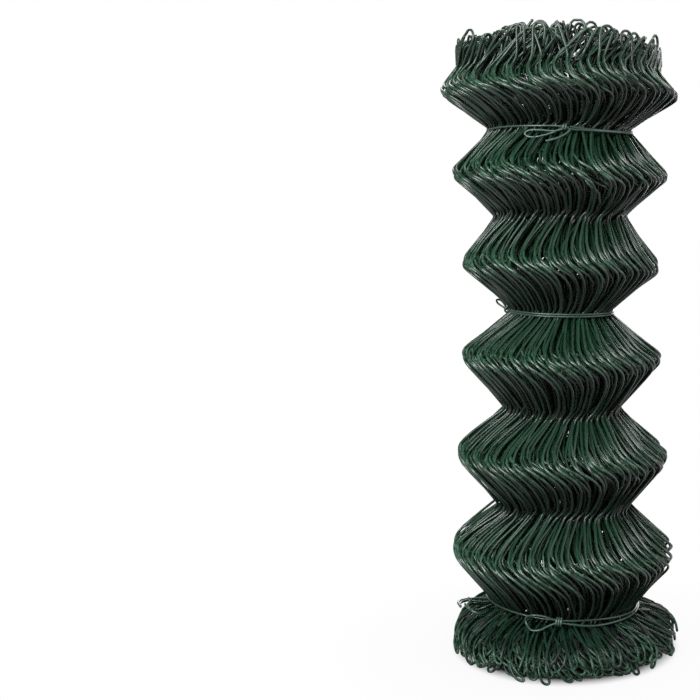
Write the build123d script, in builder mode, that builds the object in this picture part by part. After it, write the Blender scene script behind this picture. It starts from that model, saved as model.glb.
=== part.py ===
"""Compact roll of plastic-coated chain-link fencing, standing on one end.

The mesh is folded shut, picket against picket, and then wound. The bends of all its pickets
line up, so the roll is a bellows: one crest for each mesh of the fence's height, with a groove
between each two. Three doubled tie wires hold it, each in a groove of its own.

Millimetres, +Z up. The origin is on the floor, on the axis of the roll.
"""

import os
from math import acos, cos, degrees, radians, sin

from build123d import *

# The roll: its overall height, and the radii of its widest crest and widest groove
roll_height = 780.0
crest_radius = 149.0
groove_radius = 93.0
crest_bend_radius = 10.0
groove_bend_radius = 9.0

# Crests and grooves from the top end down, as shares of the sizes above.
# The tie in the middle pulls the roll in, and it spreads again towards both ends.
crest_height_shares = (0.916, 0.784, 0.642, 0.492, 0.329, 0.167)
crest_radius_shares = (1.000, 0.914, 0.837, 0.860, 0.911, 0.968)
groove_height_shares = (0.857, 0.718, 0.563, 0.403, 0.240, 0.072)
groove_radius_shares = (0.978, 0.918, 0.702, 0.824, 0.932, 1.000)

# The top end, a collar of knuckled wire ends, and the bottom end, which spreads like a skirt
collar_radius = 129.0
collar_height = 30.0
collar_edge_radius = 8.0
skirt_radius = 149.0
skirt_rim_height = 13.0
skirt_edge_radius = 6.0
skirt_foot_inset = 8.0

# The wound turns. All of them together are the wall of the roll, from its outside to its hollow,
# and the gaps between them show on both ends.
turn_count = 7
turn_pitch = 5.8
turn_gap = 2.0
turn_gap_depth = 8.0

# The tie wires: two strands round the groove, wrapped together at a knot with a bow and a tail
tie_diameter = 2.6
tie_clearance = 0.3
strand_spacing_share = 0.96
wrap_count = 2
wrap_spacing_share = 0.92
wrap_radius_share = 1.42
bow_length = 42.0
bow_height = 15.0
bow_lift_angle = 28.0
tail_length = 36.0
tail_lift_angle = 35.0

# The side of the roll where each tie has its knot, and how far its tail droops
top_knot_angle = -90.0
top_tail_angle = 36.0
middle_knot_angle = 190.0
middle_tail_angle = 10.0
bottom_knot_angle = -90.0
bottom_tail_angle = -20.0

# Every bend of the outside from the top down: the radius and height of its tip, and the radius
# it is bent to, which is below zero where it curves inwards
crests = [
    (crest_radius * radius_share, roll_height * height_share, crest_bend_radius)
    for radius_share, height_share in zip(crest_radius_shares, crest_height_shares)
]
grooves = [
    (groove_radius * radius_share, roll_height * height_share, -groove_bend_radius)
    for radius_share, height_share in zip(groove_radius_shares, groove_height_shares)
]
collar_foot = (collar_radius, roll_height - collar_height, 0)
skirt_rim = (skirt_radius, skirt_rim_height, skirt_edge_radius)
skirt_foot = (skirt_radius - skirt_foot_inset, 0, 0)
bellows = [bend for pair in zip(crests, grooves) for bend in pair]
bends = [collar_foot, *bellows, skirt_rim, skirt_foot]

# The hollow: a bore as wide as the narrowest groove leaves it, with a funnel-shaped mouth at each end
wall_thickness = turn_count * turn_pitch
bore_radius = min(radius for radius, _, _ in grooves) - wall_thickness
bore_top = grooves[0][1]
bore_bottom = grooves[-1][1]
top_mouth_radius = collar_radius - wall_thickness
bottom_mouth_radius = skirt_foot[0] - wall_thickness


def leg(upper, lower):
    """The straight leg between two bends, as the points where it leaves one and meets the other."""
    upper_radius, upper_height, upper_bend = upper
    lower_radius, lower_height, lower_bend = lower
    upper_centre = Vector(upper_radius - upper_bend, upper_height)
    lower_centre = Vector(lower_radius - lower_bend, lower_height)
    across = lower_centre - upper_centre
    turn = degrees(acos((upper_bend - lower_bend) / across.length))
    outward = across.normalized().rotate(Axis.Z, turn)
    return upper_centre + outward * upper_bend, lower_centre + outward * lower_bend


def turn_gap_line(mouth_radius):
    """The gap between the turns: a spiral of half circles, one pitch wider at each full turn."""
    half_pitch = turn_pitch / 2
    for half_turn in range(2 * (turn_count - 1)):
        right_half = half_turn % 2
        CenterArc(
            center=(half_pitch * right_half, 0),
            radius=mouth_radius + half_pitch * (half_turn + 1),
            start_angle=180 * right_half,
            arc_size=180,
        )


legs = [leg(upper, lower) for upper, lower in zip(bends, bends[1:])]

# The rolled mesh: a bellows turned about Z, with its bore, and the turns cut into both ends
with BuildPart() as mesh_roll:
    with BuildSketch(Plane.XZ):
        with BuildLine():
            collar = FilletPolyline(
                (top_mouth_radius, roll_height),
                (collar_radius, roll_height),
                legs[0][0],
                radius=collar_edge_radius,
            )
            for start, end in legs:
                Line(start, end)
            for (radius, height, _), above, below in zip(bends[1:], legs, legs[1:]):
                ThreePointArc(above[1], (radius, height), below[0])
            Polyline(
                legs[-1][1],
                (bottom_mouth_radius, 0),
                (bore_radius, bore_bottom),
                (bore_radius, bore_top),
                collar @ 0,
            )
        make_face()
    revolve(axis=Axis.Z)
    with BuildSketch(Plane.XY.offset(roll_height)):
        with BuildLine():
            turn_gap_line(top_mouth_radius)
        trace(line_width=turn_gap)
    extrude(amount=-turn_gap_depth, mode=Mode.SUBTRACT)
    with BuildSketch(Plane.XY):
        with BuildLine():
            turn_gap_line(bottom_mouth_radius)
        trace(line_width=turn_gap)
    extrude(amount=turn_gap_depth, mode=Mode.SUBTRACT)
mesh_roll.part.label = "mesh_roll"


def tie_wire(name, groove, knot_angle, tail_angle):
    """One tie: a doubled ring in its groove, wrapped at the knot, with a bow and a free tail."""
    floor_radius, height, _ = groove
    strand_radius = tie_diameter / 2
    strand_spacing = tie_diameter * strand_spacing_share
    wrap_spacing = tie_diameter * wrap_spacing_share
    wrap_radius = tie_diameter * wrap_radius_share
    ring_radius = floor_radius + tie_clearance + strand_radius
    neck = strand_spacing / 2
    up = Vector(0, 0, 1)
    out = Vector(cos(radians(knot_angle)), sin(radians(knot_angle)), 0)
    left = out.cross(up)
    knot = out * (ring_radius + wrap_radius) + up * height
    bow_way = left.rotate(Axis.Z, bow_lift_angle)
    tail_way = left.rotate(Axis.Z, tail_lift_angle)
    tail_way = tail_way * cos(radians(tail_angle)) - up * sin(radians(tail_angle))

    with BuildPart() as tie:
        # The two strands, side by side round the groove
        with BuildSketch(Plane.XZ):
            for side in (-1, 1):
                with Locations((ring_radius, height + side * strand_spacing / 2)):
                    Circle(strand_radius)
        revolve(axis=Axis.Z)
        # The wraps at the knot, round the neck of the bow
        for wrap in range(wrap_count):
            offset = (wrap - (wrap_count - 1) / 2) * wrap_spacing
            with Locations(Plane(origin=knot + left * offset, z_dir=left)):
                Torus(wrap_radius, strand_radius)
        # The bow, a leaf-shaped loop that starts and ends in the wraps
        with BuildLine(Plane(origin=knot, x_dir=bow_way, z_dir=bow_way.cross(up))) as bow:
            FilletPolyline(
                (0, neck),
                (bow_length / 2, bow_height / 2),
                (bow_length, 0),
                (bow_length / 2, -bow_height / 2),
                (0, -neck),
                radius=(bow_height, bow_height / 4, bow_height),
            )
        with BuildSketch(Plane(origin=bow.line @ 0, z_dir=bow.line % 0)):
            Circle(strand_radius)
        sweep(path=bow.line)
        # The tail, the free end of the wire
        with BuildSketch(Plane(origin=knot, z_dir=tail_way)):
            Circle(strand_radius)
        extrude(amount=tail_length)
    tie.part.label = name
    return tie.part


tie_wires = [
    tie_wire("tie_wire_top", grooves[0], top_knot_angle, top_tail_angle),
    tie_wire("tie_wire_middle", grooves[2], middle_knot_angle, middle_tail_angle),
    tie_wire("tie_wire_bottom", grooves[-1], bottom_knot_angle, bottom_tail_angle),
]

os.makedirs("parts", exist_ok=True)
export_step(mesh_roll.part, "parts/mesh_roll.step")
for tie_part in tie_wires:
    export_step(tie_part, f"parts/{tie_part.label}.step")
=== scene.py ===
import math

import bpy
import numpy as np
from mathutils import Euler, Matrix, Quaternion, Vector


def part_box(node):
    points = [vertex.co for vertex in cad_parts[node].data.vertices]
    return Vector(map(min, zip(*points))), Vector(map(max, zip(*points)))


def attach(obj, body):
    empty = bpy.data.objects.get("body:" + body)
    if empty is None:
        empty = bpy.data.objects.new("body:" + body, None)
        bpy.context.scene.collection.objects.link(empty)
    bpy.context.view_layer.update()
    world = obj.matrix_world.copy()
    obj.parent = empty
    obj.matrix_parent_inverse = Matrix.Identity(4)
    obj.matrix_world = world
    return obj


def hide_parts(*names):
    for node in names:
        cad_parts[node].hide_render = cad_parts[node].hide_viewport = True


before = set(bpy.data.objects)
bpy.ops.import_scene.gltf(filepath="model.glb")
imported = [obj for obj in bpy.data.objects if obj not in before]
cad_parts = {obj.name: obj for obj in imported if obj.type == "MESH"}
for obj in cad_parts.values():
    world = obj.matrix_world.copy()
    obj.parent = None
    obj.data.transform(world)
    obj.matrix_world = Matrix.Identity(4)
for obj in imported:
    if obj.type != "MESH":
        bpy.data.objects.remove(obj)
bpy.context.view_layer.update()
scene = bpy.context.scene
scene.view_settings.view_transform = "Standard"
luck = np.random.default_rng(11)
print("frame in, nodes:", sorted(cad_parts))

# where the turned solid bends, read with rays shot at its axis from the side
outline = {
    "step": 0.002, "margin": 0.004,
    "reach": 20,                          # a bend is the widest or the narrowest for so many steps each way
    "collarBelowTop": 0.015, "skirtAboveFloor": 0.013,
}


def outlineRadius(height):
    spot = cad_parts["mesh_roll"].ray_cast((1, 0, height), (-1, 0, 0))[1]
    return spot.x


def findBends():
    low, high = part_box("mesh_roll")
    reach = outline["reach"]
    heights = np.arange(high.z - outline["margin"], low.z + outline["margin"], -outline["step"])
    radii = np.array([outlineRadius(height) for height in heights])
    found = []
    for i in range(reach, len(radii) - reach):
        near = radii[i - reach:i + reach + 1]
        if radii[i] in (near.max(), near.min()):
            found.append((radii[i], heights[i]))
    return np.array(found)


bends = findBends()                       # radius and height of crest, groove, crest ... from the top down
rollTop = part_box("mesh_roll")[1].z
footTop = bends[-1, 1]                    # below the last groove the mesh spreads into a skirt
collarRadius = outlineRadius(rollTop - outline["collarBelowTop"])
skirtRadius = outlineRadius(outline["skirtAboveFloor"])
print("bends of the roll:", len(bends))

camera = {
    "distance": 1.4766, "eyeHeight": 0.5492,             # metres from the axis, and above the floor
    "turnLeft": 3, "tiltDown": 6.16, "bank": -0.84,      # degrees
    "focalPixels": 1150, "imagePixels": 700, "sensor": 36,
    "slide": -0.2172,                                    # the roll stands right of the middle
}


def addCamera():
    data = bpy.data.cameras.new("photoCamera")
    data.sensor_width = camera["sensor"]
    data.lens = data.sensor_width * camera["focalPixels"] / camera["imagePixels"]
    data.shift_x = camera["slide"]
    eye = bpy.data.objects.new("photoCamera", data)
    scene.collection.objects.link(eye)
    aim = Euler((math.radians(90 - camera["tiltDown"]), 0, math.radians(camera["turnLeft"])))
    eye.rotation_mode = "QUATERNION"
    eye.rotation_quaternion = aim.to_quaternion() @ Quaternion((0, 0, 1), math.radians(camera["bank"]))
    eye.location = (0, -camera["distance"], camera["eyeHeight"])
    scene.camera = eye


addCamera()
print("camera set")


# small helpers for the node trees
def newMaterial(name):
    material = bpy.data.materials.new(name)
    material.use_nodes = True
    tree = material.node_tree
    return material, tree, tree.nodes["Principled BSDF"]


def addNode(tree, kind, inputs=None, **settings):
    node = tree.nodes.new(kind)
    for key, value in settings.items():
        setattr(node, key, value)
    for key, value in (inputs or {}).items():
        if isinstance(value, bpy.types.NodeSocket):
            tree.links.new(value, node.inputs[key])
        else:
            node.inputs[key].default_value = value
    return node


def addNoise(tree, place, scale, detail):
    inputs = {"Vector": place, "Scale": scale, "Detail": detail}
    return addNode(tree, "ShaderNodeTexNoise", inputs).outputs["Fac"]


def addRamp(tree, factor, places, shades):
    ramp = addNode(tree, "ShaderNodeValToRGB", {"Fac": factor})
    points = ramp.color_ramp.elements
    while len(points) < len(places):
        points.new(0.5)
    for point, place, shade in zip(points, places, shades):
        point.position = place
        point.color = (*shade, 1) if hasattr(shade, "__len__") else (shade, shade, shade, 1)
    return ramp.outputs["Color"]


def addRange(tree, value, fromEnds, toEnds):
    ends = {"From Min": fromEnds[0], "From Max": fromEnds[1], "To Min": toEnds[0], "To Max": toEnds[1]}
    return addNode(tree, "ShaderNodeMapRange", {"Value": value, **ends}).outputs[0]


def addMath(tree, operation, first, second):
    return addNode(tree, "ShaderNodeMath", {0: first, 1: second}, operation=operation).outputs[0]


def blendColours(tree, factor, under, over):
    mix = addNode(tree, "ShaderNodeMix", data_type="RGBA")
    for socket, value in (("Factor", factor), ("A", under), ("B", over)):
        entry = next(s for s in mix.inputs if s.name == socket and s.enabled)
        if isinstance(value, bpy.types.NodeSocket):
            tree.links.new(value, entry)
        else:
            entry.default_value = (*value, 1)
    return next(s for s in mix.outputs if s.enabled)


coat = {
    # the first colour is painted shade: the dark grey given to the wire where it faces down, in the
    # grooves, on the inner turns and at the foot
    "paintedShade": (0.014, 0.0165, 0.015), "deep": (0.0075, 0.025, 0.0133), "fresh": (0.0138, 0.0450, 0.0247),
    "rubbedHighlight": (0.047, 0.118, 0.073), "dusty": (0.040, 0.062, 0.050),
    "blotch": (34, 4), "grain": (150, 3), "ripple": (700, 2),      # noise scales, per metre, and detail
    "rippleDepth": 0.00001,
    "greenAt": (0.1, 0.34, 0.75),                        # from painted shade to fresh
    "rubHighlightAt": (0.44, 0.62), "rubHighlightMost": 0.8,
    "facingUp": (0.35, 0.95), "dustAt": (0.48, 0.72), "dustMost": 0.35,
    "facingDown": (0.1, -0.6), "undersideShadeMost": 0.8,
    "gloss": (0.15, 0.22), "glossAt": (0.2, 0.55), "grainGloss": 0.1, "shine": 0.5,
}
footShadeCoat = {                              # painted shade: a darker, less shiny coat for the skirt under the bellows
    **coat, "deep": (0.006, 0.020, 0.011), "fresh": (0.010, 0.034, 0.019), "shine": 0.2,
}
tieCoat = {                               # newer and paler than the mesh
    **coat, "deep": (0.026, 0.054, 0.040), "fresh": (0.044, 0.086, 0.066),
    "gloss": (0.14, 0.22), "shine": 0.45,
}


def plasticCoat(name, look):
    material, tree, shader = newMaterial(name)
    place = addNode(tree, "ShaderNodeTexCoord").outputs["Object"]
    blotch = addNoise(tree, place, *look["blotch"])
    grain = addNoise(tree, place, *look["grain"])
    ripple = addNoise(tree, place, *look["ripple"])
    tone = addNode(tree, "ShaderNodeAttribute", attribute_name="wireToneAndPaintedLight").outputs["Fac"]
    rubHighlight = addNode(tree, "ShaderNodeAttribute", attribute_name="wireRubHighlight").outputs["Fac"]
    mixed = addMath(tree, "MULTIPLY", addMath(tree, "ADD", tone, blotch), 0.5)
    green = addRamp(tree, mixed, look["greenAt"], (look["paintedShade"], look["deep"], look["fresh"]))
    # the skin is rubbed pale in spots where the wire turns over a crest; the pale spots are partly wear and
    # partly a painted highlight
    rubHighlightSpots = addRamp(tree, grain, look["rubHighlightAt"], (0, look["rubHighlightMost"]))
    green = blendColours(tree, addMath(tree, "MULTIPLY", rubHighlight, rubHighlightSpots), green, look["rubbedHighlight"])
    # pale dust lies where the wire faces up
    normal = addNode(tree, "ShaderNodeNewGeometry").outputs["Normal"]
    facing = addNode(tree, "ShaderNodeSeparateXYZ", {0: normal}).outputs["Z"]
    lying = addRamp(tree, facing, look["facingUp"], (0, 1))
    dustSpots = addRamp(tree, grain, look["dustAt"], (0, look["dustMost"]))
    green = blendColours(tree, addMath(tree, "MULTIPLY", lying, dustSpots), green, look["dusty"])
    # and its underside is painted darker and greyer: painted shade where the wire faces down
    under = addRange(tree, facing, look["facingDown"], (0, look["undersideShadeMost"]))
    tree.links.new(blendColours(tree, under, green, look["paintedShade"]), shader.inputs["Base Color"])
    # wire with a high tone shines, and wire with a low tone, from its random tone or from the painted
    # shade, is dull
    shiny, dull = look["gloss"]
    gloss = addRange(tree, mixed, look["glossAt"], (dull, shiny))
    grainGloss = addMath(tree, "MULTIPLY", grain, look["grainGloss"])
    tree.links.new(addMath(tree, "ADD", gloss, grainGloss), shader.inputs["Roughness"])
    bump = addNode(tree, "ShaderNodeBump", {"Height": ripple, "Distance": look["rippleDepth"]})
    tree.links.new(bump.outputs[0], shader.inputs["Normal"])
    shader.inputs["Specular IOR Level"].default_value = look["shine"]
    return material


steel = {
    "dull": (0.16, 0.155, 0.15), "bright": (0.46, 0.47, 0.47), "shadeAt": (0.35, 0.65),
    "scratches": (3000, 3), "roughness": 0.4,
}


def cutSteel():
    material, tree, shader = newMaterial("cutSteelEnd")
    place = addNode(tree, "ShaderNodeTexCoord").outputs["Object"]
    scratch = addNoise(tree, place, *steel["scratches"])
    shade = addRamp(tree, scratch, steel["shadeAt"], (steel["dull"], steel["bright"]))
    tree.links.new(shade, shader.inputs["Base Color"])
    shader.inputs["Metallic"].default_value = 1
    shader.inputs["Roughness"].default_value = steel["roughness"]
    return material


coatMaterial = plasticCoat("greenPlasticCoat", coat)
footShadeMaterial = plasticCoat("shadedFootPlasticCoat", footShadeCoat)
tieMaterial = plasticCoat("tiePlasticCoat", tieCoat)
steelMaterial = cutSteel()
print("materials made")


def unit(vectors):
    return vectors / (np.linalg.norm(vectors, axis=-1, keepdims=True) + 1e-12)


def column(values):
    return np.asarray(values)[:, None]


def polar(radius, degrees, height):
    angle = np.radians(degrees)
    radius, angle, height = np.broadcast_arrays(radius, angle, height)
    return np.stack([radius * np.cos(angle), radius * np.sin(angle), height], -1)


slantedWay = (0.31, 0.17, 0.93)           # no wire starts out along it


# tubes along many lines at once, with a cut face at every end: lines is (wires, points, 3)
def sweepWires(name, lines, radius, sides, looks, skin, footShadeBelow=0):
    wires, points = lines.shape[:2]
    along = unit(np.gradient(lines, axis=1))
    side = np.cross(along[:, 0], slantedWay)
    sideways = np.empty_like(lines)
    for i in range(points):               # carried along without twisting
        side = unit(side - along[:, i] * (side * along[:, i]).sum(1, keepdims=True))
        sideways[:, i] = side
    across = np.cross(along, sideways)
    turn = np.linspace(0, 2 * np.pi, sides, endpoint=False)[:, None]
    ring = np.cos(turn) * sideways[:, :, None] + np.sin(turn) * across[:, :, None]
    corners = (lines[:, :, None] + radius * ring).reshape(-1, 3)

    spot = np.arange(wires * points * sides).reshape(wires, points, sides)
    near, far = spot[:, :-1], spot[:, 1:]
    quads = np.stack([near, np.roll(near, -1, 2), np.roll(far, -1, 2), far], -1).reshape(-1, 4)
    caps = np.concatenate([spot[:, 0, ::-1], spot[:, -1]])
    loops = np.concatenate([quads.ravel(), caps.ravel()])
    sizes = np.concatenate([np.full(len(quads), 4), np.full(len(caps), sides)])
    kinds = np.repeat((0, 1), (len(quads), len(caps)))   # 0 skin, 1 cut steel, 2 the foot's skin, darker for painted shade
    # the quads below the last groove get the foot's coat, painted shade under the bellows
    kinds[:len(quads)][corners[quads, 2].max(1) < footShadeBelow] = 2

    mesh = bpy.data.meshes.new(name)
    mesh.vertices.add(len(corners))
    mesh.vertices.foreach_set("co", corners.astype(np.float32).ravel())
    mesh.loops.add(len(loops))
    mesh.loops.foreach_set("vertex_index", loops.astype(np.int32))
    mesh.polygons.add(len(sizes))
    mesh.polygons.foreach_set("loop_start", np.concatenate([[0], np.cumsum(sizes)[:-1]]).astype(np.int32))
    mesh.polygons.foreach_set("material_index", kinds.astype(np.int32))
    mesh.polygons.foreach_set("use_smooth", kinds != 1)
    mesh.update(calc_edges=True)
    for label, values in looks.items():
        layer = mesh.attributes.new(label, "FLOAT", "POINT")
        layer.data.foreach_set("value", np.repeat(values.ravel(), sides).astype(np.float32))
    for material in (skin, steelMaterial, footShadeMaterial):
        mesh.materials.append(material)
    piece = bpy.data.objects.new(name, mesh)
    scene.collection.objects.link(piece)
    return piece


pickets = {
    "wireRadius": 0.0017,
    "spread": 0.0024,                                    # they stand a little out of the solid
    "perTurn": (65, 70, 80, 80, 80, 80, 80),             # the inner turns are wound tighter
    "turnPitch": 0.0058,
    "outerEnd": 150,                                     # degrees, where the fence ends on the outside
    "sides": (8, 6, 5),                                  # of the outer turn, the second turn and the rest
    # share of a leg that is rounded into a bend, crests from the top down
    "crestRound": (0.10, 0.22), "grooveRound": 0.12, "roundLoose": (0.7, 1.3),
    # how far a picket sways to the right on its way from one groove over the crest to the next
    "swayPhase": (0, 0.06, 0.15, 0.24, 0.32, 0.38, 0.43, 0.47, 0.5, 0.54, 0.58, 0.64, 0.72, 0.82, 0.93, 1),
    "swayDegrees": (3, 0.2, -3, -5.4, -6.3, -5.8, -4.2, -1.8, 0.8, 4.3, 7, 9.8, 11.8, 13, 13.2, 8),
    "swaySteps": 400, "swaySmooth": 29, "swingLoose": 0.16, "swingEnds": (0.5, 1.5),
    # how loose the bends are: metres out and up, degrees round, and pickets between two wanderings
    "radiusLoose": 0.0016, "heightLoose": 0.0022, "heightWander": 0.002, "heightStride": 6,
    "angleLoose": 1.1, "angleWander": 1.2, "angleStride": 5, "bowLoose": 1.1,
    "tiedBends": (1, 5, 11), "tiedShare": 0.5,           # a tie holds them tighter
    "looserInside": 0.3, "looserTurns": 3,
    "pairShare": (0.14, 0.03),                           # neighbours hook into each other
}
# where the points lie along a leg, for the outer turn, the second turn and the rest
legShares = (
    np.array((0, 0.035, 0.075, 0.125, 0.21, 0.35, 0.5, 0.65, 0.79, 0.875, 0.925, 0.965)),
    np.array((0, 0.05, 0.11, 0.25, 0.45, 0.65, 0.83, 0.92)),
    np.array((0, 0.07, 0.16, 0.4, 0.62, 0.84, 0.93)),
)


# goes from 0 to 1 along a leg, easing out of the bend above it and into the bend below
def bendRamp(share, above, below):
    slope = 1 / (1 - above / 2 - below / 2)
    start = slope * share ** 2 / (2 * above)
    end = 1 - slope * (1 - share) ** 2 / (2 * below)
    return np.where(share < above, start, np.where(share > 1 - below, end, slope * (share - above / 2)))


swayTwist = pickets["swayDegrees"][-1] - pickets["swayDegrees"][0]
swayPhase = np.linspace(0, 1, pickets["swaySteps"] + 1)


def smoothSway():
    steps = pickets["swaySteps"]
    loose = np.interp(swayPhase, pickets["swayPhase"], pickets["swayDegrees"]) - swayTwist * swayPhase
    window = np.hanning(pickets["swaySmooth"])
    threeRounds = np.tile(loose[:-1], 3)
    return np.convolve(threeRounds, window / window.sum(), "same")[steps:2 * steps + 1]


swayCurve = smoothSway()


def sway(phase, swing):
    return swing[:, None] * np.interp(phase % 1, swayPhase, swayCurve) + swayTwist * phase


def wander(count, size, stride):
    coarse = luck.normal(0, size, count // stride + 3)
    return np.interp(np.arange(count) / stride, np.arange(len(coarse)), coarse)


# the roll is wound a little crooked: its right side hangs lower, and so does its front below the rim
winding = {
    "rightDown": 0.034, "backUp": 0.022,                 # slopes
    "rim": 0.12, "foot": 0.35,                           # the front is level again within these of the ends
}


def hangCrooked(lines):
    right, back, height = np.moveaxis(lines, -1, 0)
    belowRim = np.clip((rollTop - height) / winding["rim"], 0, 1)
    aboveFoot = np.clip(height / winding["foot"], 0, 1)
    lines[..., 2] += winding["backUp"] * back * belowRim * aboveFoot
    lines[..., 2] -= winding["rightDown"] * right * np.clip(height / footTop, 0, 1)


# every picket bends a little off the outline, and less so under a tie
def scatterBends(depths, odd, spacing, rough):
    count = len(depths)
    radius = bends[:, 0] - column(depths) - pickets["wireRadius"] + pickets["spread"]
    height = np.repeat(bends[None, :, 1], count, 0)
    angle = np.zeros_like(height)
    for j in range(len(bends)):
        loose = rough * (pickets["tiedShare"] if j in pickets["tiedBends"] else 1)
        radius[:, j] -= loose * np.abs(luck.normal(0, pickets["radiusLoose"], count))
        raised = luck.normal(0, pickets["heightLoose"], count)
        height[:, j] += loose * (raised + wander(count, pickets["heightWander"], pickets["heightStride"]))
        turned = luck.normal(0, pickets["angleLoose"], count)
        angle[:, j] += rough * (turned + wander(count, pickets["angleWander"], pickets["angleStride"]))
        pair = np.interp(j, (0, len(bends) - 1), pickets["pairShare"])
        angle[:, j] += pair * spacing * np.where(odd == j % 2, 1, -1)
    return radius, height, angle


def fromTo(values, j, share):
    return values[:, j, None] + (values[:, j + 1] - values[:, j])[:, None] * share


# crest to groove to crest, down to the last groove
def bellowsRuns(azimuths, swing, scatter, grade, rough):
    radius, height, angle = scatter
    leg = legShares[grade]
    last = len(bends) - 1
    rounds = np.interp(np.arange(len(bends)), (0, last - 1), pickets["crestRound"])
    rounds = rounds * luck.uniform(*pickets["roundLoose"], height.shape)
    rounds[:, 1::2] = pickets["grooveRound"]
    runs = []
    for j in range(last):
        bow = luck.normal(0, rough * pickets["bowLoose"], (len(azimuths), 1)) * np.sin(np.pi * leg)
        turned = column(azimuths) + sway((j + 1 + leg) / 2, swing) + fromTo(angle, j, leg) + bow
        inward = bendRamp(leg, rounds[:, j, None], rounds[:, j + 1, None])
        runs.append(polar(fromTo(radius, j, inward), turned, fromTo(height, j, leg)))
    return runs


knuckles = {
    "above": 0.006,                                      # the highest hooks, over the solid's top
    "below": (0.006, 0.015), "mostlyHigh": 1.3,          # how deep the others sit: outer turn, inner turns
    "sideSag": 0.010,                                    # the rim is lower at both sides
    "spread": 0.005, "rimLoose": 0.003,
    "straight": 0.45, "flareRound": (0.15, 0.2), "flareSway": (0.2, 0.3),
    "lean": (9, 6), "leanOver": 0.1, "leanBend": 1.15,   # degrees to the right, growing towards the hook
    "radius": (0.0042, 0.0098), "mostlySmall": 1.2, "hookRoom": 1.25, "points": (10, 7, 7),
    "tilt": (0.25, 0.6), "rightShare": 0.72,
    "drop": (0.012, 0.032), "tailAside": (0.1, 0.25), "tailIn": 0.25, "tailPoints": (0.4, 1),
    "barbShare": 0.1, "barbAside": 0.2 / 9, "barbUp": 0.45, "barbTail": 0.05,
}


# from the first crest up over the collar, ending in a hook or a bare barb
def topRuns(azimuths, depths, swing, scatter, grade):
    radius, height, angle = scatter
    count = len(azimuths)
    leg = legShares[grade]
    up = np.array((0, 0, 1))
    limit = rollTop + knuckles["above"] - pickets["wireRadius"]
    size = luck.random(count) ** knuckles["mostlySmall"]
    hookRadius = knuckles["radius"][0] + np.diff(knuckles["radius"]) * size
    outerTurn = depths < pickets["turnPitch"]            # it stands a little higher than the rest
    below = np.where(outerTurn, *knuckles["below"]) * luck.random(count) ** knuckles["mostlyHigh"]
    sag = knuckles["sideSag"] * np.cos(np.radians(azimuths)) ** 2
    base = column(limit - knuckles["hookRoom"] * hookRadius - below - sag)
    inset = np.abs(luck.normal(0, knuckles["rimLoose"], count))
    collar = column(collarRadius + knuckles["spread"] - depths - pickets["wireRadius"] - inset)
    lean = column(luck.normal(*knuckles["lean"], count))
    straight = knuckles["straight"]
    flare = np.clip((leg - straight) / (1 - straight), 0, 1)
    outward = bendRamp(flare, *knuckles["flareRound"])
    leaning = np.clip(1 - leg / (straight + knuckles["leanOver"]), 0, 1) ** knuckles["leanBend"]
    swayFrom, swayLength = knuckles["flareSway"]
    turned = column(azimuths) + sway(swayFrom + swayLength * flare, swing) + angle[:, :1] + lean * leaning
    rise = polar(collar + (radius[:, :1] - collar) * outward, turned, base + (height[:, :1] - base) * leg)

    wayUp = unit(rise[:, 0] - rise[:, 1])
    out = unit(rise[:, 0] * (1, 1, 0))
    tilt = luck.normal(*knuckles["tilt"], (count, 1))
    over = np.cos(tilt) * np.cross(up, out) - np.sin(tilt) * out
    over = over * column(np.where(luck.random(count) < knuckles["rightShare"], 1, -1))
    over = unit(over - wayUp * (over * wayUp).sum(1, keepdims=True))
    barb = column(luck.random(count) < knuckles["barbShare"])
    bow = np.linspace(0, np.pi, knuckles["points"][grade])[1:]
    sideStep = np.where(barb, knuckles["barbAside"] * bow ** 2, 1 - np.cos(bow)) * column(hookRadius)
    upStep = np.where(barb, knuckles["barbUp"] * bow, np.sin(bow)) * column(hookRadius)
    hook = rise[:, :1] + over[:, None] * sideStep[:, :, None] + wayUp[:, None] * upStep[:, :, None]
    drop = luck.uniform(*knuckles["drop"], (count, 1)) * np.where(barb, knuckles["barbTail"], 1)
    aside = over * luck.normal(*knuckles["tailAside"], (count, 1))
    inwards = out * np.abs(luck.normal(0, knuckles["tailIn"], (count, 1)))
    fall = np.where(barb, up, unit(-wayUp - aside - inwards))
    tail = hook[:, -1:] + fall[:, None] * drop[:, None] * column(knuckles["tailPoints"])
    # no loop reaches out past its own picket's collar, or over the highest hooks
    loops = np.concatenate([tail[:, ::-1], hook[:, ::-1]], 1)
    away = np.linalg.norm(loops[:, :, :2], axis=2, keepdims=True)
    loops[:, :, :2] *= np.minimum(1, collar[:, None] / away)
    whole = np.concatenate([loops, rise], 1)
    whole[:, :, 2] = np.minimum(whole[:, :, 2], limit)
    return [whole]


skirts = {
    "spread": 0.0025, "tipLoose": 0.005, "leftReach": 0.004,
    "depthShare": 0.8,                                   # the inner turns are crowded outwards
    "clear": 0.0004, "tipAbove": 0.018, "mostlyLow": 1.5,
    "fallBend": 1.2, "swayShare": 0.2, "lean": (13, 8), "bowLoose": 4.5,      # degrees
    "lastPoint": 0.94, "pinRadius": (0.0034, 0.0085), "pinPoints": (9, 6, 6), "rightShare": 0.65,
    "returnShare": (0.35, 0.9), "returnPoints": (7, 4, 4),
    "closing": 0.7, "stray": 0.008, "lift": (-0.002, 0.0044),
    "looseEnds": 3, "looseHeight": (0.060, 0.070), "looseReach": (0.139, 0.004),
}


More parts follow.
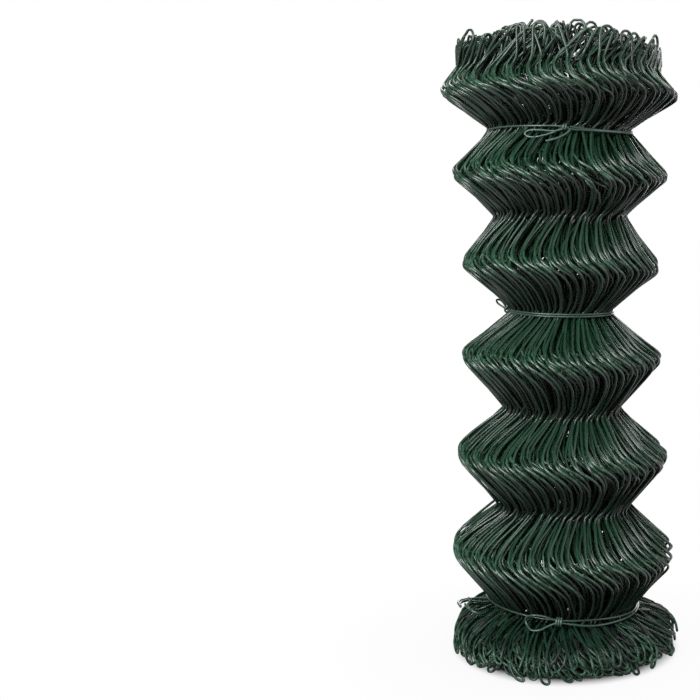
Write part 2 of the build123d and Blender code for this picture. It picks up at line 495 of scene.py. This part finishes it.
# from the last groove out over the skirt, round a hairpin and part of the way back up
def skirtRuns(azimuths, depths, swing, scatter, grade, first):
    radius, height, angle = scatter
    count = len(azimuths)
    leg = legShares[grade]
    lowest = pickets["wireRadius"]
    pin = luck.uniform(*skirts["pinRadius"], count)
    inset = np.abs(luck.normal(0, skirts["tipLoose"], count))
    reach = skirtRadius + skirts["spread"] - skirts["depthShare"] * depths - inset
    reach += skirts["leftReach"] * np.clip(-np.cos(np.radians(azimuths)), 0, 1)
    low = lowest + pin + skirts["clear"] + skirts["tipAbove"] * luck.random(count) ** skirts["mostlyLow"]
    lean = luck.normal(*skirts["lean"], count)
    bows = luck.normal(0, skirts["bowLoose"], count)
    if first:                              # the fence's own end sticks out straight
        ends = slice(0, skirts["looseEnds"])
        low[ends] = luck.uniform(*skirts["looseHeight"], skirts["looseEnds"])
        reach[ends] = luck.normal(*skirts["looseReach"], skirts["looseEnds"])
    start, top = radius[:, -1:], height[:, -1:]
    turned = column(azimuths) + angle[:, -1:]

    def onSkirt(share, sideways, lift):
        away = start + (column(reach) - start) * np.sin(share * np.pi / 2)
        fallen = share ** skirts["fallBend"]
        bent = sway(len(bends) / 2 + skirts["swayShare"] * share, swing)
        bent = bent + column(lean) * fallen + column(bows) * np.sin(np.pi * share)
        down = top + (column(low) - top) * fallen
        return polar(away + lift, turned + bent + np.degrees(sideways / away), down)

    leaving = onSkirt(np.append(leg[leg < skirts["lastPoint"]], 1)[None], 0, 0)
    wayDown = unit(leaving[:, -1] - leaving[:, -2])
    hand = np.where(luck.random(count) < skirts["rightShare"], 1, -1)
    across = unit(np.cross((0, 0, 1), leaving[:, -1])) * column(hand)
    bow = np.linspace(0, np.pi, skirts["pinPoints"][grade])[1:-1, None]
    loop = np.sin(bow) * wayDown[:, None] + (1 - np.cos(bow)) * across[:, None]
    loop = leaving[:, -1:] + column(pin)[:, None] * loop
    loop[..., 2] = np.maximum(loop[..., 2], lowest)      # no hairpin goes into the floor
    returned = column(luck.uniform(*skirts["returnShare"], count))
    back = 1 - np.linspace(0, 1, skirts["returnPoints"][grade]) * returned
    stray = column(luck.normal(0, skirts["stray"], count))
    closing = 2 * column(pin * hand) * (1 - skirts["closing"] * (1 - back)) + stray * (1 - back)
    lift = column(luck.normal(*skirts["lift"], count)) * (1 - back)
    return [leaving, loop, onSkirt(back, closing, lift)]


# each picket has its own tone, with painted shade at the foot, in the grooves and on the inner turns'
# inward legs, and pale rubbed spots over the crests that also paint a highlight
wearAndPaintedLight = {
    "tone": (0.64, 0.2), "toneEnds": (-0.3, 1),
    "footShade": 0.4, "footReach": 1.1,                 # in heights of the last groove
    "grooveShade": 0.35, "grooveDepth": 0.014,
    "innerShade": 0.75, "innerTurns": (1, 2, 3, 4),
    "rubHighlightDepth": 0.012,
}


def picketLooks(lines, turn, reach):
    count, points = lines.shape[:2]
    tones = column(luck.normal(*wearAndPaintedLight["tone"], count)) * np.ones(points)
    # painted shade: the tone is lowered towards the foot, in the grooves and on the inner turns' inward
    # legs
    tones -= wearAndPaintedLight["footShade"] * np.sqrt(np.clip(wearAndPaintedLight["footReach"] - lines[:, :, 2] / footTop, 0, 1))
    away = np.linalg.norm(lines[:, :, :2], axis=2)
    near = [np.roll(away, shift, 1) for shift in range(-reach, reach + 1)]
    crest, groove = np.max(near, 0), np.min(near, 0)
    inGroove = np.clip(1 - (away - groove) / wearAndPaintedLight["grooveDepth"], 0, 1) * (lines[:, :, 2] < bends[0, 1])
    inside = (turn in wearAndPaintedLight["innerTurns"]) * (np.gradient(away, axis=1) < 0)
    tones -= wearAndPaintedLight["grooveShade"] * inGroove + wearAndPaintedLight["innerShade"] * inside
    # pale over the crests: partly rubbed wear, partly a painted highlight
    rubbedHighlight = np.clip(1 - (crest - away) / wearAndPaintedLight["rubHighlightDepth"], 0, 1)
    return {"wireToneAndPaintedLight": np.clip(tones, *wearAndPaintedLight["toneEnds"]), "wireRubHighlight": rubbedHighlight}


def layTurns():
    order = 0
    for turn, count in enumerate(pickets["perTurn"]):
        share = np.arange(count) / count
        azimuths = pickets["outerEnd"] + 360 * share
        depths = pickets["turnPitch"] * (turn + share)
        odd = (order + np.arange(count)) % 2
        order += count
        grade = min(turn, len(legShares) - 1)
        sides = pickets["sides"][grade]
        rough = 1 + pickets["looserInside"] * min(turn, pickets["looserTurns"])
        swing = np.clip(luck.normal(1, rough * pickets["swingLoose"], count), *pickets["swingEnds"])
        scatter = scatterBends(depths, odd, 360 / count, rough)
        runs = topRuns(azimuths, depths, swing, scatter, grade)
        runs += bellowsRuns(azimuths, swing, scatter, grade, rough)
        runs += skirtRuns(azimuths, depths, swing, scatter, grade, turn == 0)
        lines = np.concatenate(runs, 1)
        hangCrooked(lines)
        looks = picketLooks(lines, turn, len(legShares[grade]))
        name = "wound_turn_%d" % (turn + 1)
        piece = sweepWires(name, lines, pickets["wireRadius"], sides, looks, coatMaterial, footTop)
        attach(piece, "root")
        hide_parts("mesh_roll")
        print(piece.name, count, "pickets,", 2 * sides * count * lines.shape[1], "triangles")


layTurns()

# the ties, each a few lines of (millimetres to the left along the ring, up, out) from its knot,
# and then the wraps of the knot; the tones are one for each line and the last for the wraps,
# and they paint light and shade: the higher tones of the top tie and the bottom knot paint a highlight,
# and the low tone of the bottom tie's first strand paints shade
tieShape = {"wireRadius": 0.0013, "clear": 0.0004, "points": 120, "sides": 10}
topTie = {
    "node": "tie_wire_top", "bend": 1, "knot": -86.9, "tones": (0.7, 0.7, 1, 1, 1),
    "lines": [
        [(0, -0.8, 1.5), (20, -0.2, 0.6), (75, -0.4, 0), (145, -2, 0), (290, -1, 0), (430, -0.6, 0.2),
         (500, -3.8, 0.6), (545, -3.6, 1), (566, -2.4, 2.4), (576, -1, 4.5)],
        [(2, -1, 4.5), (-9, -4, 3.2), (-40, -4.8, 1.2), (-95, -4.6, 1), (-150, -3, 0.4), (-290, 0.6, 0.4),
         (-330, 1.2, 0.4)],
        [(0, -1.6, 3.4), (10, -7, 6), (24, -12, 8), (36, -13.8, 8.5), (43, -11.8, 8.5), (44, -8.4, 8),
         (38, -5.6, 7.4), (26, -5.6, 7), (12, -6.6, 6.6), (2, -4, 5.2), (-5, -2, 3.8)],
        [(-6, -4.8, 4.4), (-2, -9, 6.6), (5, -13.5, 9), (13, -16.6, 11.5), (20, -18.6, 13)],
    ],
    "wraps": {"turns": 1.5, "radius": 3.0, "pitch": 2.7, "up": -1.5, "out": 0},
}
middleTie = {
    "node": "tie_wire_middle", "bend": 5, "knot": 186, "tones": (0.4, 0.4, 0, 0.4),
    "lines": [
        [(0, 1.2, 1), (60, 1.4, 0), (140, 1.2, 0), (240, 1.5, 0), (330, 1.3, 0), (405, 1.0, 0),
         (423, 0.6, 1.8)],
        [(3, -1.4, 1), (70, -1.3, 0), (160, -1.5, 0), (250, -1.2, 0), (340, -1.4, 0), (410, -1.5, 0),
         (426, -1.2, 1.8)],
        [(2, 0.6, 2.6), (8, 5.5, 6), (13, 9.5, 10), (13, 11.5, 14), (9, 11.5, 16.5), (5, 8, 15), (2, 4, 9),
         (0, 0.4, 3)],
    ],
    "wraps": {"turns": 1.5, "radius": 3.0, "pitch": 2.7, "up": 0, "out": 0},
}
bottomTie = {
    "node": "tie_wire_bottom", "bend": 11, "knot": -93.7, "tones": (0.1, 0.45, 0.5, 1),
    "lines": [
        [(0, 9.5, 9.5), (25, 10, 9), (80, 11, 9), (140, 8.5, 7), (220, 3, 2.4), (300, 0, 0),
         (440, 1.6, 0.6), (510, 6.2, 4.6), (555, 9, 7.6), (580, 9.4, 9), (594, 9.5, 10)],
        [(1, 7.5, 11), (-14, 5.5, 11), (-40, 2.6, 10.5), (-80, 2.4, 7.4), (-140, 1.4, 3), (-290, 0.4, 0.4),
         (-330, 0.8, 0.4)],
        [(-3, 9.5, 12), (7, 12, 13.5), (16, 15, 15), (26, 15.5, 16), (34, 12, 15), (37.5, 6.5, 13.5),
         (35, 1, 15), (28.5, -3, 19), (20, -2, 18.5), (10, 4, 15), (0, 8.5, 12.5)],
    ],
    "wraps": {"turns": 2.6, "radius": 4.6, "pitch": 2.4, "up": 9, "out": 8},
}


# a smooth curve through the points
def smoothLine(points, count):
    points = np.array(points, float)
    padded = np.vstack([2 * points[0] - points[1], points, 2 * points[-1] - points[-2]])
    at = np.linspace(0, len(points) - 1, count)
    i = np.minimum(at.astype(int), len(points) - 2)
    t = column(at - i)
    a, b, c, d = padded[i], padded[i + 1], padded[i + 2], padded[i + 3]
    square = 2 * a - 5 * b + 4 * c - d
    cube = 3 * b - a - 3 * c + d
    return 0.5 * (2 * b + (c - a) * t + square * t ** 2 + cube * t ** 3)


def wrapLine(turns, radius, pitch, up, out):
    turn = np.linspace(0, 2 * np.pi * turns, tieShape["points"])
    along = pitch * turn / (2 * np.pi) - pitch * turns / 2
    return np.stack([along, up + radius * np.cos(turn), out + radius * (1 + np.sin(turn))], 1)


def addTie(tie):
    radius, height = bends[tie["bend"]]
    ring = radius + tieShape["clear"] + tieShape["wireRadius"]
    local = [smoothLine(line, tieShape["points"]) for line in tie["lines"]] + [wrapLine(**tie["wraps"])]
    left, up, out = np.moveaxis(np.array(local) / 1000, -1, 0)
    lines = polar(ring + out, tie["knot"] - np.degrees(left / ring), height + up)
    hangCrooked(lines)
    tones = column(tie["tones"]) * np.ones(tieShape["points"])
    looks = {"wireToneAndPaintedLight": tones, "wireRubHighlight": np.zeros_like(tones)}
    name = tie["node"] + "_strands"
    piece = sweepWires(name, lines, tieShape["wireRadius"], tieShape["sides"], looks, tieMaterial)
    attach(piece, "root")
    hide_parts(tie["node"])
    print(piece.name, len(lines), "lines")


for tie in (topTie, middleTie, bottomTie):
    addTie(tie)


# how much of the floor or the room is plain white: in the lens, through glass and in a mirror
def whiteShare(tree, seen, mirrored):
    path = addNode(tree, "ShaderNodeLightPath").outputs
    straight = addMath(tree, "ADD", path["Is Camera Ray"], path["Is Transmission Ray"])
    return addMath(tree, "ADD", addMath(tree, "MULTIPLY", straight, seen),
                   addMath(tree, "MULTIPLY", path["Is Glossy Ray"], mirrored))


floor = {
    "size": 8, "drop": 0.0004, "grey": 0.3,
    # how white it is at these metres from the axis, with the shade kept close round the foot
    "whiteAt": (0.125, 0.15, 0.34), "seen": (0, 0.94, 1), "mirrored": (0, 0.1, 0.4),
}


def addFloor():
    half = floor["size"] / 2
    corners = [(-half, -half, 0), (half, -half, 0), (half, half, 0), (-half, half, 0)]
    mesh = bpy.data.meshes.new("studioFloor")
    mesh.from_pydata(corners, [], [(0, 1, 2, 3)])
    sheet = bpy.data.objects.new("studioFloor", mesh)
    sheet.location.z = -floor["drop"]
    scene.collection.objects.link(sheet)
    material = bpy.data.materials.new("paleFloor")
    material.use_nodes = True
    tree = material.node_tree
    tree.nodes.clear()
    grey = (floor["grey"], floor["grey"], floor["grey"], 1)
    matte = addNode(tree, "ShaderNodeBsdfDiffuse", {"Color": grey})
    white = addNode(tree, "ShaderNodeEmission", {"Color": (1, 1, 1, 1), "Strength": 1})
    place = addNode(tree, "ShaderNodeTexCoord").outputs["Object"]
    away = addNode(tree, "ShaderNodeVectorMath", {0: place}, operation="LENGTH").outputs["Value"]
    share = whiteShare(tree, addRamp(tree, away, floor["whiteAt"], floor["seen"]),
                       addRamp(tree, away, floor["whiteAt"], floor["mirrored"]))
    mix = addNode(tree, "ShaderNodeMixShader", {0: share, 1: matte.outputs[0], 2: white.outputs[0]})
    addNode(tree, "ShaderNodeOutputMaterial", {"Surface": mix.outputs[0]})
    mesh.materials.append(material)


room = {"grey": 0.12, "mirrored": 0.12}


def addRoom():
    world = bpy.data.worlds.new("studioRoom")
    scene.world = world
    world.use_nodes = True
    tree = world.node_tree
    tree.nodes.clear()
    grey = (room["grey"], room["grey"], room["grey"], 1)
    dim = addNode(tree, "ShaderNodeBackground", {"Color": grey})
    white = addNode(tree, "ShaderNodeBackground", {"Color": (1, 1, 1, 1)})
    share = whiteShare(tree, 1, room["mirrored"])
    mix = addNode(tree, "ShaderNodeMixShader", {0: share, 1: dim.outputs[0], 2: white.outputs[0]})
    addNode(tree, "ShaderNodeOutputWorld", {"Surface": mix.outputs[0]})


lampAim = (0, 0, 0.4)
lamps = {
    "leftKey": {"at": (-1.24, -1.48, 0.92), "size": (1.0, 1.0), "watts": 49},
    "frontTop": {"at": (-0.15, -1.5, 1.65), "size": (1.2, 1.0), "watts": 26},
    "rightSide": {"at": (1.9, -0.34, 0.92), "size": (1.7, 1.7), "watts": 18},
    "rightTop": {"at": (0.68, 0, 2.28), "size": (1.0, 1.0), "watts": 10},
    "backRight": {"at": (0.98, 0.83, 1.93), "size": (1.6, 1.6), "watts": 15},
    "backLeft": {"at": (-0.5, 1.2, 1.95), "size": (1.0, 1.0), "watts": 12},
    "backFill": {"at": (0.25, 1.9, 1.1), "size": (1.8, 1.8), "watts": 36},
}


def addSoftbox(name, box):
    data = bpy.data.lights.new(name, "AREA")
    data.shape = "RECTANGLE"
    data.size, data.size_y = box["size"]
    data.energy = box["watts"]
    lamp = bpy.data.objects.new(name, data)
    lamp.location = box["at"]
    lamp.rotation_euler = (Vector(lampAim) - Vector(box["at"])).to_track_quat("-Z", "Y").to_euler()
    scene.collection.objects.link(lamp)


addFloor()
addRoom()
for name, box in lamps.items():
    addSoftbox(name, box)
print("floor and lights set")
